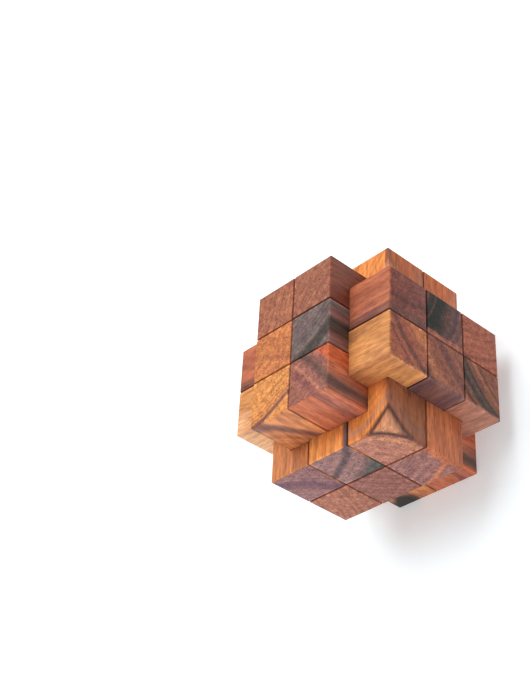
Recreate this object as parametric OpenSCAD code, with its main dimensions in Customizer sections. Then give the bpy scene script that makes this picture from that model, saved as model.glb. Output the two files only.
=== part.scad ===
// Eighteen-stick burr puzzle
// Three walls of six square sticks pass through each other at right angles. Every stick is one
// bar with square notches, and two of them are plain keys that lift out.

/* [Sticks] */
// Width of each square stick
stick_w = 22; // [18:0.5:30]
// Chamfer along every outer edge of a stick
edge = 0.5; // [0.2:0.1:1]
// Play between one stick and the next
play = 0.16; // [0.08:0.02:0.4]

/* [Timber] */
// Colour of the plain keys
key_tone = "sienna"; // [sienna, saddlebrown, peru]
// Colour of the upright sticks
upright_tone = "peru"; // [sienna, saddlebrown, peru]
// Colour of the crosswise sticks
crosswise_tone = "saddlebrown"; // [sienna, saddlebrown, peru]
// Colour of the lengthwise sticks
lengthwise_tone = "tan"; // [tan, burlywood, peru]

/* [Hidden] */
h = stick_w / 2;          // the half width that all notches are counted in
stick_l = 4 * stick_w;    // the puzzle is as long, as wide and as high as one stick
bar_w = stick_w - play;

// Shapes that the sticks share. They are drawn about the middle of the puzzle: x runs from left
// to right, y from front to back and z upwards, and places are counted in stick widths.

// Rectangle with its four corners cut off
module eased_rectangle(a, b) {
    x = a / 2;
    y = b / 2;
    polygon([
        [x, y - edge], [x - edge, y], [edge - x, y], [-x, y - edge],
        [-x, edge - y], [edge - x, -y], [x - edge, -y], [x, edge - y]
    ]);
}

// One whole stick standing along z, with every outer edge chamfered
module bar() {
    intersection() {
        linear_extrude(stick_l, center = true) eased_rectangle(bar_w, bar_w);
        rotate([90, 0, 0]) linear_extrude(bar_w, center = true) eased_rectangle(bar_w, stick_l);
        rotate([90, 0, 90]) linear_extrude(bar_w, center = true) eased_rectangle(bar_w, stick_l);
    }
}

// The three walls are alike: two sticks thick (side is -1 or 1) and three wide (row is -1, 0 or 1)
module upright(side, row) translate([side * h, row * stick_w, 0]) bar();
module crosswise(side, row) translate([0, side * h, row * stick_w]) rotate([0, 90, 0]) bar();
module lengthwise(side, row) translate([row * stick_w, 0, side * h]) rotate([90, 0, 0]) bar();

// Box cut away between the given half widths along x, y and z, with half of the play all round
module notch(x, y, z) {
    translate([x[0] * h - play / 2, y[0] * h - play / 2, z[0] * h - play / 2])
        cube([
            (x[1] - x[0]) * h + play,
            (y[1] - y[0]) * h + play,
            (z[1] - z[0]) * h + play
        ]);
}

// The puzzle looks the same after half a turn about its vertical middle line
module half_turn() rotate([0, 0, 180]) children();

// The puzzle stands on the lower ends of its uprights, at z = 0
module standing() translate([0, 0, stick_l / 2]) children();

// Notched sticks

// Upright beside a key. Only its outer corner passes the other two walls.
module corner_upright() {
    difference() {
        upright(1, 1);
        notch([0, 2], [1, 2], [-3, 3]);
        notch([0, 1], [1, 3], [-2, 2]);
    }
}

// Upright in the middle of its wall. A quarter of it passes the crosswise sticks.
module middle_upright() {
    difference() {
        upright(1, 0);
        notch([0, 1], [-1, 1], [-3, 3]);
        notch([0, 2], [-1, 0], [-3, 3]);
    }
}

// Crosswise stick at the back. It makes room for the key and for the middle upright.
// The upper and lower ones are also halved where the lengthwise sticks pass them.
module crosswise_back(row) {
    own_z = [2 * row - 1, 2 * row + 1];
    inner_z = row > 0 ? [1, 2] : [-2, -1];
    difference() {
        crosswise(1, row);
        notch([-2, 0], [1, 2], own_z);
        notch([1, 2], [0, 1], own_z);
        if (row != 0) notch([-3, 3], [0, 2], inner_z);
    }
}

// Lengthwise stick at the right-hand edge of its wall
module lengthwise_edge(side) {
    own_z = side > 0 ? [0, 2] : [-2, 0];
    inner_z = side > 0 ? [0, 1] : [-1, 0];
    difference() {
        lengthwise(side, 1);
        notch([1, 2], [-3, 3], own_z);
        notch([1, 3], [-2, 2], inner_z);
    }
}

// Lengthwise stick in the middle of its wall, cut on both sides for the keys to pass
module lengthwise_middle(side) {
    own_z = side > 0 ? [0, 2] : [-2, 0];
    inner_z = side > 0 ? [0, 1] : [-1, 0];
    difference() {
        lengthwise(side, 0);
        notch([-1, 0], [1, 3], own_z);
        notch([0, 1], [-3, -1], own_z);
        notch([-1, 1], [-2, 2], inner_z);
    }
}

// Sub-parts

module key_stick_back_left() color(key_tone) standing() upright(-1, 1);
module key_stick_front_right() color(key_tone) standing() upright(1, -1);

module upright_back_right() color(upright_tone) standing() corner_upright();
module upright_middle_right() color(upright_tone) standing() middle_upright();
module upright_front_left() color(upright_tone) standing() half_turn() corner_upright();
module upright_middle_left() color(upright_tone) standing() half_turn() middle_upright();

module crosswise_back_upper() color(crosswise_tone) standing() crosswise_back(1);
module crosswise_back_middle() color(crosswise_tone) standing() crosswise_back(0);
module crosswise_back_lower() color(crosswise_tone) standing() crosswise_back(-1);
module crosswise_front_upper() color(crosswise_tone) standing() half_turn() crosswise_back(1);
module crosswise_front_middle() color(crosswise_tone) standing() half_turn() crosswise_back(0);
module crosswise_front_lower() color(crosswise_tone) standing() half_turn() crosswise_back(-1);

module lengthwise_upper_right() color(lengthwise_tone) standing() lengthwise_edge(1);
module lengthwise_upper_centre() color(lengthwise_tone) standing() lengthwise_middle(1);
module lengthwise_upper_left() color(lengthwise_tone) standing() half_turn() lengthwise_edge(1);
module lengthwise_lower_right() color(lengthwise_tone) standing() lengthwise_edge(-1);
module lengthwise_lower_centre() color(lengthwise_tone) standing() lengthwise_middle(-1);
module lengthwise_lower_left() color(lengthwise_tone) standing() half_turn() lengthwise_edge(-1);

key_stick_back_left();
key_stick_front_right();
upright_back_right();
upright_middle_right();
upright_front_left();
upright_middle_left();
crosswise_back_upper();
crosswise_back_middle();
crosswise_back_lower();
crosswise_front_upper();
crosswise_front_middle();
crosswise_front_lower();
lengthwise_upper_right();
lengthwise_upper_centre();
lengthwise_upper_left();
lengthwise_lower_right();
lengthwise_lower_centre();
lengthwise_lower_left();
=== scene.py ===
"""Looks of the burr puzzle: solid-grown hardwood for each stick, a pale floor and soft light."""
import math

import bpy
from mathutils import Matrix, Vector


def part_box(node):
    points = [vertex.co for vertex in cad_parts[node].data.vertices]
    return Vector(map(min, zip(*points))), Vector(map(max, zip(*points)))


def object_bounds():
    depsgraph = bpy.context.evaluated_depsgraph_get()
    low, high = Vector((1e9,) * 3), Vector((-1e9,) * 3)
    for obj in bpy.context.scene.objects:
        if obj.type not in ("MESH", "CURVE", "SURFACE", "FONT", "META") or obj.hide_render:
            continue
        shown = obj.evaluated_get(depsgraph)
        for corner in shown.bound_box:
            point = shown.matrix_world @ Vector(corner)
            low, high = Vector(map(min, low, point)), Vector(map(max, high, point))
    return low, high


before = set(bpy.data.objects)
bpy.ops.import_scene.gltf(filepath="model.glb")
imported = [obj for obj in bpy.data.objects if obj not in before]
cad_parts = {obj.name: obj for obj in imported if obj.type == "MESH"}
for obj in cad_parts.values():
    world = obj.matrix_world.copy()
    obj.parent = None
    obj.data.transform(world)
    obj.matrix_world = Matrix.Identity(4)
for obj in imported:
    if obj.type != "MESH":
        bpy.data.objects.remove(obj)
cad_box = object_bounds()

MM = 0.001
CENTRE = (cad_box[0] + cad_box[1]) / 2
SIZE = cad_box[1].z - cad_box[0].z          # the puzzle is as high as one stick is long
STICK_W = SIZE / 4                          # a stick is four of its own widths long


# ---------------------------------------------------------------- colours

def srgb(r, g, b):
    """Linear colour of an sRGB colour given in 0 to 255."""
    def linear(c):
        c /= 255
        return c / 12.92 if c <= 0.04045 else ((c + 0.055) / 1.055) ** 2.4
    return (linear(r), linear(g), linear(b), 1.0)


WARM = (1.16, 1.14, 1.04)                   # tints that mottle the wood
COOL = (0.84, 0.75, 0.78)
UMBER = (84, 52, 44)
CHESTNUT = (150, 90, 66)
SMOKE = (88, 74, 72)
CHARCOAL = (50, 44, 40)
WHITE = (1.0, 1.0, 1.0, 1.0)


# ---------------------------------------------------------------- node helper

class Graph:
    """Short calls for building one material's node tree."""

    def __init__(self, material):
        self.tree = material.node_tree
        self.tree.nodes.clear()

    def add(self, kind, **settings):
        node = self.tree.nodes.new(kind)
        for name, value in settings.items():
            setattr(node, name, value)
        return node

    def feed(self, socket, value):
        """Links a socket to another, or sets its value."""
        if isinstance(value, bpy.types.NodeSocket):
            self.tree.links.new(value, socket)
        else:
            socket.default_value = value

    def math(self, operation, a, b=0.0, c=0.0):
        node = self.add("ShaderNodeMath", operation=operation)
        for socket, value in zip(node.inputs, (a, b, c)):
            self.feed(socket, value)
        return node.outputs[0]

    def vector(self, operation, a, b=(0.0, 0.0, 0.0)):
        node = self.add("ShaderNodeVectorMath", operation=operation)
        self.feed(node.inputs[0], a)
        self.feed(node.inputs[1], b)
        return node.outputs["Value" if operation in ("LENGTH", "DOT_PRODUCT") else "Vector"]

    def step(self, value, low, high):
        """Smooth step of a value from 0 at low to 1 at high."""
        node = self.add("ShaderNodeMapRange", interpolation_type="SMOOTHSTEP")
        self.feed(node.inputs["Value"], value)
        self.feed(node.inputs["From Min"], low)
        self.feed(node.inputs["From Max"], high)
        return node.outputs["Result"]

    def scale_to(self, value, low, high):
        """A value of 0 to 1 carried to the range low to high."""
        return self.math("MULTIPLY_ADD", value, high - low, low)

    def noise(self, vector, detail=2.0, roughness=0.5, colour=False):
        node = self.add("ShaderNodeTexNoise")
        self.feed(node.inputs["Vector"], vector)
        node.inputs["Scale"].default_value = 1.0
        node.inputs["Detail"].default_value = detail
        node.inputs["Roughness"].default_value = roughness
        return node.outputs["Color" if colour else "Fac"]

    def noise_along(self, value, detail=2.0):
        """One-dimensional noise of a value."""
        node = self.add("ShaderNodeTexNoise", noise_dimensions="1D")
        self.feed(node.inputs["W"], value)
        node.inputs["Scale"].default_value = 1.0
        node.inputs["Detail"].default_value = detail
        return node.outputs["Fac"]

    def cells(self, vector):
        """Distance to the nearest of points scattered about one unit apart."""
        node = self.add("ShaderNodeTexVoronoi", feature="F1")
        self.feed(node.inputs["Vector"], vector)
        node.inputs["Scale"].default_value = 1.0
        return node.outputs["Distance"]

    def mix(self, factor, a, b, blend="MIX"):
        node = self.add("ShaderNodeMix", data_type="RGBA", blend_type=blend)
        self.feed(node.inputs["Factor"], factor)
        self.feed(node.inputs["A"], a)
        self.feed(node.inputs["B"], b)
        return node.outputs["Result"]

    def split(self, vector):
        node = self.add("ShaderNodeSeparateXYZ")
        self.feed(node.inputs[0], vector)
        return list(node.outputs)

    def join(self, x, y, z):
        node = self.add("ShaderNodeCombineXYZ")
        for socket, value in zip(node.inputs, (x, y, z)):
            self.feed(socket, value)
        return node.outputs[0]

    def brightness(self, colour, factor):
        """A colour times a grey factor."""
        return self.vector("MULTIPLY", colour, self.join(factor, factor, factor))


# ---------------------------------------------------------------- timber

WANDER = 7.0                                # how far a ring strays, in millimetres
FINE_BAND = 2.2                             # width of a fine growth band
PORE_GAP = 1.05                             # distance from pore to pore across the grain
PORE_LENGTH = 6.0                           # length of a pore along the grain
SEAM_SHADE_WIDTH = 0.65                            # width of the painted shade line beside a seam
RUBBED_HIGHLIT_EDGE = 0.8                           # width of a free edge painted pale, partly as rubbed wear and partly as a painted highlight

AXES = {"upright": 2, "key": 2, "crosswise": 0, "lengthwise": 1}
WALLS = {2: (2, 3), 0: (2, 3), 1: (3, 2)}   # sticks side by side across a wall, first axis first


class Stick:
    """A CAD stick's own coordinates, in millimetres from its middle: u and v across, w along."""

    def __init__(self, graph, node):
        low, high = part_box(node)
        middle = (low + high) / 2
        along = AXES[node.split("_")[0]]
        across = [axis for axis in range(3) if axis != along]
        texture = graph.add("ShaderNodeTexCoord")
        local = graph.vector("SUBTRACT", texture.outputs["Object"], middle)
        local = graph.vector("MULTIPLY", local, (1 / MM, 1 / MM, 1 / MM))
        place = graph.split(local)
        facing = graph.split(texture.outputs["Normal"])
        self.u, self.v, self.w = (place[axis] for axis in (*across, along))
        self.facing = [graph.math("ABSOLUTE", facing[axis]) for axis in (*across, along)]
        self.half = STICK_W / MM / 2
        self.half_length = SIZE / MM / 2
        # a side is a seam where another stick of the same wall lies against it
        self.seams = []
        for number, axis in enumerate(across):
            wall_half = WALLS[along][number] * STICK_W / 2
            for sign in (-1, 1):
                side = (middle - CENTRE)[axis] + sign * STICK_W / 2
                if abs(abs(side) - wall_half) > STICK_W / 4:
                    self.seams.append((number, sign))


def seam_lines(graph, stick, nearest, furthest):
    """1 within a band beside the stick's joints in the wall, from nearest to furthest in mm."""
    lines = None
    for number, sign in stick.seams:
        gap = graph.math("MULTIPLY_ADD", (stick.u, stick.v)[number], -sign, stick.half)
        line = graph.math("SUBTRACT", 1.0, graph.step(gap, furthest - 0.6, furthest))
        if nearest > 0:
            line = graph.math("MULTIPLY", line, graph.step(gap, nearest, nearest + 0.4))
        open_side = graph.math("SUBTRACT", 1.0, graph.step(stick.facing[number], 0.8, 0.95))
        line = graph.math("MULTIPLY", line, open_side)
        lines = line if lines is None else graph.math("MAXIMUM", lines, line)
    return lines


def edge_distance(graph, stick):
    """Distance in millimetres from a point on the stick's skin to its nearest outer edge."""
    a = graph.math("SUBTRACT", stick.half, graph.math("ABSOLUTE", stick.u))
    b = graph.math("SUBTRACT", stick.half, graph.math("ABSOLUTE", stick.v))
    c = graph.math("SUBTRACT", stick.half_length, graph.math("ABSOLUTE", stick.w))
    larger = graph.math("MAXIMUM", a, b)
    return graph.math("MAXIMUM", graph.math("MINIMUM", a, b), graph.math("MINIMUM", larger, c))


def stretched(graph, stick, across, along, seed=0.0):
    """Stick coordinates counted in lengths of across and along, in millimetres."""
    return graph.join(
        graph.math("MULTIPLY_ADD", stick.u, 1 / across, seed),
        graph.math("MULTIPLY_ADD", stick.v, 1 / across, seed * 1.7),
        graph.math("MULTIPLY_ADD", stick.w, 1 / along, seed * 0.6),
    )


def laid_vein(graph, colour, vein, outward, cloud, fine):
    """A colour with one band laid over it, (offset, width, colour), at its place outward."""
    offset, width, other = vein
    ragged = graph.math("ADD", outward, graph.scale_to(cloud, -0.3 * width, 0.3 * width))
    aside = graph.math("ABSOLUTE", graph.math("SUBTRACT", ragged, offset))
    cover = graph.math("SUBTRACT", 1.0, graph.step(aside, 0.1 * width, 0.8 * width))
    return graph.mix(graph.math("MULTIPLY", cover, graph.step(fine, 0.0, 0.45)), colour, srgb(*other))


def timber(node, heart, end, streak, amount, pith, seed, lean=(0, 0), band=11.0, veins=(), flanks=(),
           flames=(), knots=()):
    """Oiled hardwood that runs through the whole stick.

    heart is the heartwood's colour along the grain and end its colour on the end grain. streak
    is the colour of the dark bands, and amount, from 0 to 1, how much of the wood they take. pith
    is where the tree's middle lies across the stick, in millimetres: it sets how the bands run.
    lean is how far the tree's middle moves across the stick for each millimetre along it. band is
    the width of a broad band. veins are single bands, each (offset, width, colour): how far it
    lies outward from the ring through the stick's middle, how wide it is and its colour. flanks
    are (angle, depth, colour): wood of another colour on the side that faces the angle, from depth
    millimetres off the middle. flames are veins that run over the flanks too. knots are patches of
    another tone, each (place, radius, colour), with the place given as (u, v, w).
    """
    material = bpy.data.materials.new(node + "_timber")
    material.use_nodes = True
    g = Graph(material)
    stick = Stick(g, node)
    heart, end, streak = (srgb(*colour) for colour in (heart, end, streak))
    end_grain = g.step(stick.facing[2], 0.75, 0.9)

    # growth bands: rings about the pith that wander a little along the stick
    wander = g.noise(stretched(g, stick, 34.0, 110.0, seed), detail=1.5, colour=True)
    wander = g.vector("MULTIPLY", g.vector("SUBTRACT", wander, (0.5, 0.5, 0.5)), (WANDER, WANDER, 0.0))
    across = g.vector("ADD", g.join(stick.u, stick.v, 0.0), wander)
    middle = g.join(
        g.math("MULTIPLY_ADD", stick.w, lean[0], pith[0]),
        g.math("MULTIPLY_ADD", stick.w, lean[1], pith[1]),
        0.0,
    )
    rings = g.vector("LENGTH", g.vector("SUBTRACT", across, middle))
    broad = g.noise_along(g.math("MULTIPLY_ADD", rings, 1 / band, seed * 3.1), detail=1.0)
    fine = g.noise_along(g.math("MULTIPLY_ADD", rings, 1 / FINE_BAND, seed * 5.3), detail=2.0)

    # fibres, pores and mottling
    fibre = g.noise(stretched(g, stick, 0.6, 14.0, seed), detail=2.0, roughness=0.6)
    grain = g.noise(stretched(g, stick, 1.9, 34.0, seed + 2.0), detail=2.0)
    cloud = g.noise(stretched(g, stick, 8.0, 26.0, seed + 4.0), detail=3.0, roughness=0.6)
    speck = g.noise(stretched(g, stick, 1.0, 3.0, seed + 6.0), detail=2.0, roughness=0.7)
    mottle = g.noise(stretched(g, stick, 2.6, 12.0, seed + 11.0), detail=3.0, roughness=0.65)
    pore_gap = g.cells(stretched(g, stick, PORE_GAP, PORE_LENGTH, seed))
    pore_size = g.scale_to(g.noise(stretched(g, stick, 3.0, 12.0, seed + 9.0)), 0.08, 0.62)
    pore = g.math("SUBTRACT", 1.0, g.step(g.math("DIVIDE", pore_gap, pore_size), 0.5, 1.1))

    # colour
    limit = 0.7 - 0.46 * amount
    dark = g.math("ADD", broad, g.scale_to(cloud, -0.08, 0.08))
    dark = g.step(g.math("ADD", dark, g.scale_to(fine, -0.08, 0.08)), limit, limit + 0.3)
    body = g.mix(end_grain, heart, end)
    body = g.mix(g.math("MULTIPLY", g.step(fine, 0.4, 0.65), 0.28), body, streak)
    colour = g.mix(g.math("MULTIPLY", dark, 0.94), body, streak)
    outward = g.math("SUBTRACT", rings, math.hypot(*pith))
    for vein in veins:
        colour = laid_vein(g, colour, vein, outward, cloud, fine)
    for angle, depth, other in flanks:
        facing = (math.cos(math.radians(angle)), math.sin(math.radians(angle)), 0.0)
        reach = g.vector("DOT_PRODUCT", g.join(stick.u, stick.v, 0.0), facing)
        ragged = g.math("ADD", g.scale_to(fine, -0.6, 0.6), g.scale_to(cloud, -1.2, 1.2))
        flanked = g.step(g.math("ADD", reach, ragged), depth - 0.8, depth + 0.8)
        covered = g.math("MULTIPLY", flanked, g.scale_to(fine, 1.0, 0.6))
        colour = g.mix(covered, colour, srgb(*other))
    for vein in flames:
        colour = laid_vein(g, colour, vein, outward, cloud, fine)
    for place, radius, other in knots:
        away = g.vector("LENGTH", g.vector("SUBTRACT", g.join(stick.u, stick.v, stick.w), place))
        away = g.math("ADD", away, g.scale_to(cloud, -0.5 * radius, 0.5 * radius))
        colour = g.mix(g.math("SUBTRACT", 1.0, g.step(away, 0.4 * radius, radius)), colour, srgb(*other))
    along_grain = g.math("MULTIPLY", g.scale_to(fibre, 0.66, 1.34), g.scale_to(grain, 0.68, 1.32))
    spread = g.scale_to(end_grain, 0.4, 1.0)
    speckled = g.math("MULTIPLY_ADD", g.math("SUBTRACT", speck, 0.5), spread, 1.0)
    speckled = g.math("MULTIPLY", speckled, g.scale_to(cloud, 0.8, 1.2))
    colour = g.brightness(colour, g.math("MULTIPLY", along_grain, speckled))
    tint = g.mix(g.step(mottle, 0.34, 0.66), (*COOL, 1.0), (*WARM, 1.0))
    colour = g.vector("MULTIPLY", colour, tint)
    pore_depth = g.math("MULTIPLY", pore, g.scale_to(end_grain, 0.3, 0.55))
    colour = g.mix(pore_depth, colour, g.brightness(colour, 0.25))

    # painted shade darkening the seams between sticks, and free edges lightened as rubbed wear and as a
    # painted highlight
    painted_seam_shade = seam_lines(g, stick, 0.0, SEAM_SHADE_WIDTH)
    bruised = g.math("MULTIPLY", seam_lines(g, stick, 0.5, 1.6), g.step(mottle, 0.42, 0.7))
    rubbed_and_highlit = g.math("SUBTRACT", 1.0, g.step(edge_distance(g, stick), 0.2, RUBBED_HIGHLIT_EDGE))
    rubbed_and_highlit = g.math("MULTIPLY", rubbed_and_highlit, g.math("SUBTRACT", 1.0, painted_seam_shade))
    # free edges lightened: partly rubbed wear, partly a painted highlight on the arrises
    colour = g.mix(g.math("MULTIPLY", rubbed_and_highlit, g.scale_to(cloud, 0.0, 0.4)), colour,
                   g.brightness(colour, 1.5))
    colour = g.mix(g.math("MULTIPLY", bruised, 0.5), colour, g.brightness(colour, 1.7))
    # painted shade: the colour is darkened beside the joints to stand in for the shadow in the gaps
    # between sticks
    colour = g.mix(g.math("MULTIPLY", painted_seam_shade, 0.88), colour, g.brightness(colour, 0.12))

    # surface
    height = g.math("SUBTRACT", g.math("MULTIPLY", fibre, 0.6), g.math("MULTIPLY", pore, 0.8))
    bump = g.add("ShaderNodeBump")
    bump.inputs["Strength"].default_value = 0.6
    bump.inputs["Distance"].default_value = 0.12 * MM
    g.feed(bump.inputs["Height"], height)
    shader = g.add("ShaderNodeBsdfPrincipled")
    g.feed(shader.inputs["Base Color"], colour)
    rough = g.math("ADD", g.scale_to(fibre, 0.34, 0.56), g.math("MULTIPLY", end_grain, 0.14))
    g.feed(shader.inputs["Roughness"], rough)
    g.feed(shader.inputs["Normal"], bump.outputs["Normal"])
    shader.inputs["Specular IOR Level"].default_value = 0.16
    output = g.add("ShaderNodeOutputMaterial")
    g.feed(output.inputs["Surface"], shader.outputs["BSDF"])
    return material


# Each stick is sawn from its own board. Places and angles across a stick have their first direction,
# u, along x (along y on a crosswise stick) and their second, v, along z (along y on an upright or a
# key). The angle of a flank turns from u towards v, and w runs along the stick. All are counted in
# millimetres from the stick's middle, and the colours are sRGB.
BOARDS = {
    "upright_back_right": dict(
        heart=(136, 76, 60), end=(164, 106, 84), streak=UMBER, amount=0.2, pith=(70, -60), seed=1.0),
    "upright_middle_right": dict(
        heart=(152, 110, 104), end=(122, 106, 104), streak=CHARCOAL, amount=0.1, pith=(-40, 60),
        seed=2.0, veins=[(7.0, 4.0, (74, 66, 60)), (0.5, 2.0, (98, 88, 84))]),
    "key_stick_front_right": dict(
        heart=(204, 118, 86), end=(154, 102, 92), streak=CHESTNUT, amount=0.0, pith=(-55, -51),
        seed=3.0,
        veins=[(4.6, 4.2, (108, 80, 74)), (-3.2, 2.4, (140, 86, 80)), (-0.8, 1.2, (184, 122, 104))],
        flanks=[(43, 9.8, (208, 102, 62))]),
    "key_stick_back_left": dict(
        heart=(176, 100, 66), end=(172, 110, 84), streak=UMBER, amount=0.1, pith=(-90, 20), seed=4.0),
    "upright_middle_left": dict(
        heart=(204, 122, 70), end=(200, 126, 78), streak=CHESTNUT, amount=0.1, pith=(40, 90), seed=5.0),
    "upright_front_left": dict(
        heart=(222, 146, 98), end=(226, 154, 88), streak=(120, 72, 56), amount=0.0, pith=(-26, 50),
        seed=6.0, lean=(0.0, 0.28),
        veins=[(13.4, 0.8, (196, 122, 76)), (15.2, 1.0, (188, 120, 74)), (17.6, 2.2, (136, 90, 78))],
        knots=[((-5, -11, -42), 11, (52, 50, 44))]),
    "crosswise_back_upper": dict(
        heart=(150, 88, 70), end=(130, 72, 62), streak=UMBER, amount=0.2, pith=(60, 8), seed=7.0,
        flanks=[(90, 10.2, (190, 112, 80)), (180, 6.8, (108, 70, 64))]),
    "crosswise_back_middle": dict(
        heart=(110, 74, 60), end=(124, 80, 72), streak=(46, 44, 38), amount=0.1, pith=(30, 70),
        seed=8.0, veins=[(-6.0, 14.0, (42, 42, 36)), (4.0, 3.0, (84, 56, 60))],
        flanks=[(180, 8.4, (172, 104, 84))]),
    "crosswise_back_lower": dict(
        heart=(176, 100, 70), end=(170, 98, 76), streak=UMBER, amount=0.1, pith=(80, 30), seed=9.0),
    "crosswise_front_upper": dict(
        heart=(170, 104, 72), end=(162, 92, 68), streak=UMBER, amount=0.1, pith=(45, -50), seed=10.0,
        veins=[(0.5, 2.8, (108, 64, 58)), (5.5, 2.0, (128, 74, 62)), (-12.0, 9.0, (196, 120, 74))],
        flanks=[(90, 10.4, (220, 156, 92)), (180, 10.4, (222, 154, 96))],
        knots=[((-12, 2, -44), 18, (240, 186, 138))]),
    "crosswise_front_middle": dict(
        heart=(124, 88, 86), end=(146, 88, 70), streak=UMBER, amount=0.2, pith=(50, -60), seed=11.0,
        veins=[(8.0, 6.0, (172, 108, 78)), (-3.0, 4.0, (112, 68, 60))],
        flanks=[(180, 9.8, (118, 84, 84))]),
    "crosswise_front_lower": dict(
        heart=(170, 114, 96), end=(146, 88, 68), streak=(62, 54, 46), amount=0.0, pith=(44, -44),
        seed=12.0, veins=[(4.0, 9.0, (96, 72, 62)), (1.6, 1.8, (74, 60, 54)), (6.0, 3.2, (66, 58, 52)),
        (11.0, 2.4, (84, 62, 52)), (-3.4, 1.6, (160, 100, 70))], flanks=[(180, 9.8, (190, 132, 112))]),
    "lengthwise_upper_right": dict(
        heart=(244, 154, 82), end=(190, 128, 108), streak=(84, 54, 46), amount=0.0, pith=(12, 12),
        seed=13.0, lean=(0.5, 0.5), flames=[(5.0, 2.7, (80, 50, 46)), (8.8, 5.5, (210, 148, 110))],
        veins=[(1.0, 2.0, (206, 142, 106))], flanks=[(0, 9.7, (118, 70, 58))],
        knots=[((13, -2, 42), 14, (178, 92, 44))]),
    "lengthwise_upper_centre": dict(
        heart=(250, 164, 90), end=(162, 120, 116), streak=(92, 80, 84), amount=0.0, pith=(-31, 52),
        seed=14.0, veins=[(-1.5, 3.2, (104, 82, 86)), (12.0, 9.5, (88, 84, 82))]),
    "lengthwise_upper_left": dict(
        heart=(206, 134, 84), end=(158, 114, 114), streak=SMOKE, amount=0.1, pith=(-50, -60), seed=15.0,
        veins=[(0.0, 5.0, (120, 84, 98))]),
    "lengthwise_lower_right": dict(
        heart=(196, 114, 76), end=(164, 114, 108), streak=UMBER, amount=0.1, pith=(-40, 70), seed=16.0,
        veins=[(8.0, 2.0, (200, 124, 88))], flanks=[(0, 8.0, (190, 110, 72))],
        knots=[((13, 0, 42), 14, (188, 98, 48))]),
    "lengthwise_lower_centre": dict(
        heart=(160, 92, 70), end=(158, 104, 94), streak=UMBER, amount=0.1, pith=(60, 60), seed=17.0),
    "lengthwise_lower_left": dict(
        heart=(186, 112, 72), end=(182, 120, 98), streak=UMBER, amount=0.1, pith=(-70, 30), seed=18.0),
}


def finish_stick(node, obj):
    """Gives a CAD stick its timber and softly rounds the arrises of its chamfers."""
    obj.data.materials.clear()
    obj.data.materials.append(timber(node, **BOARDS[node]))
    weld = obj.modifiers.new("weld", "WELD")
    weld.merge_threshold = 0.001 * MM
    bevel = obj.modifiers.new("soft_arris", "BEVEL")
    bevel.width = 0.12 * MM
    bevel.segments = 2
    bevel.limit_method = "ANGLE"
    bevel.angle_limit = math.radians(30)
    bevel.harden_normals = True
    for polygon in obj.data.polygons:
        polygon.use_smooth = True


for node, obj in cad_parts.items():
    finish_stick(node, obj)


# ---------------------------------------------------------------- floor, light and camera

FLOOR_REACH = 40 * SIZE
FLOOR_COLOUR = (0.76, 0.84, 0.88, 1.0)      # cool, because the wood throws a warm light on it
FLOOR_GLOW = 0.34                           # keeps the shadow pale
SOFT_DAYLIGHT = 0.42                        # brightness of the surroundings as a light
VIEW_AZIMUTH = 47.11                        # degrees round from the front towards the right
VIEW_ELEVATION = 31.98                      # degrees that the camera looks down
VIEW_ROLL = -60.14                          # degrees that the camera is turned about its own axis
VIEW_PLACE = Vector((15.07, -14.52, 15.46)) # from the puzzle's centre, in stick widths
LENS_MM = 69.45
CLIP_RANGE = (0.05, 20.0)


def floor():
    """Plain pale floor under the puzzle."""
    reach = FLOOR_REACH
    mesh = bpy.data.meshes.new("floor")
    mesh.from_pydata([(-reach, -reach, 0), (reach, -reach, 0), (reach, reach, 0), (-reach, reach, 0)],
                     [], [(0, 1, 2, 3)])
    obj = bpy.data.objects.new("floor", mesh)
    bpy.context.scene.collection.objects.link(obj)
    material = bpy.data.materials.new("pale_floor")
    material.use_nodes = True
    shader = material.node_tree.nodes["Principled BSDF"]
    shader.inputs["Base Color"].default_value = FLOOR_COLOUR
    shader.inputs["Roughness"].default_value = 0.9
    shader.inputs["Specular IOR Level"].default_value = 0.0
    shader.inputs["Emission Color"].default_value = WHITE
    shader.inputs["Emission Strength"].default_value = FLOOR_GLOW
    mesh.materials.append(material)


def lamp(name, direction, spread, strength):
    """Broad light from a direction, with shadows softened over spread degrees."""
    light = bpy.data.lights.new(name, "SUN")
    light.energy = strength
    light.angle = math.radians(spread)
    obj = bpy.data.objects.new(name, light)
    bpy.context.scene.collection.objects.link(obj)
    obj.rotation_mode = "QUATERNION"
    obj.rotation_quaternion = (-Vector(direction)).to_track_quat("-Z", "Y")


def daylight(strength):
    """Even white surroundings that light the puzzle gently and stand behind it as plain white."""
    world = bpy.data.worlds.new("surroundings")
    world.use_nodes = True
    tree = world.node_tree
    background = tree.nodes["Background"]
    background.inputs["Color"].default_value = WHITE
    path = tree.nodes.new("ShaderNodeLightPath")
    level = tree.nodes.new("ShaderNodeMapRange")
    level.inputs["To Min"].default_value = strength
    level.inputs["To Max"].default_value = 1.0
    tree.links.new(path.outputs["Is Camera Ray"], level.inputs["Value"])
    tree.links.new(level.outputs["Result"], background.inputs["Strength"])
    bpy.context.scene.world = world


def camera():
    """Camera that looks down on the puzzle's front right corner, rolled so that it seems tilted."""
    data = bpy.data.cameras.new("camera")
    data.sensor_fit = "AUTO"
    data.sensor_width = 36.0
    data.lens = LENS_MM
    data.clip_start, data.clip_end = CLIP_RANGE
    obj = bpy.data.objects.new("camera", data)
    bpy.context.scene.collection.objects.link(obj)
    aim = Matrix.Rotation(math.radians(VIEW_AZIMUTH), 4, "Z")
    tilt = Matrix.Rotation(math.radians(90 - VIEW_ELEVATION), 4, "X")
    roll = Matrix.Rotation(math.radians(VIEW_ROLL), 4, "Z")
    place = CENTRE + STICK_W * VIEW_PLACE
    obj.matrix_world = Matrix.Translation(place) @ aim @ tilt @ roll
    bpy.context.scene.camera = obj


floor()
lamp("key_light", (-0.08, 0.4, 1.0), 50, 2.5)
lamp("front_fill", (-0.1, -1.0, 0.1), 60, 1.1)
daylight(SOFT_DAYLIGHT)
camera()
bpy.context.scene.view_settings.view_transform = "Standard"
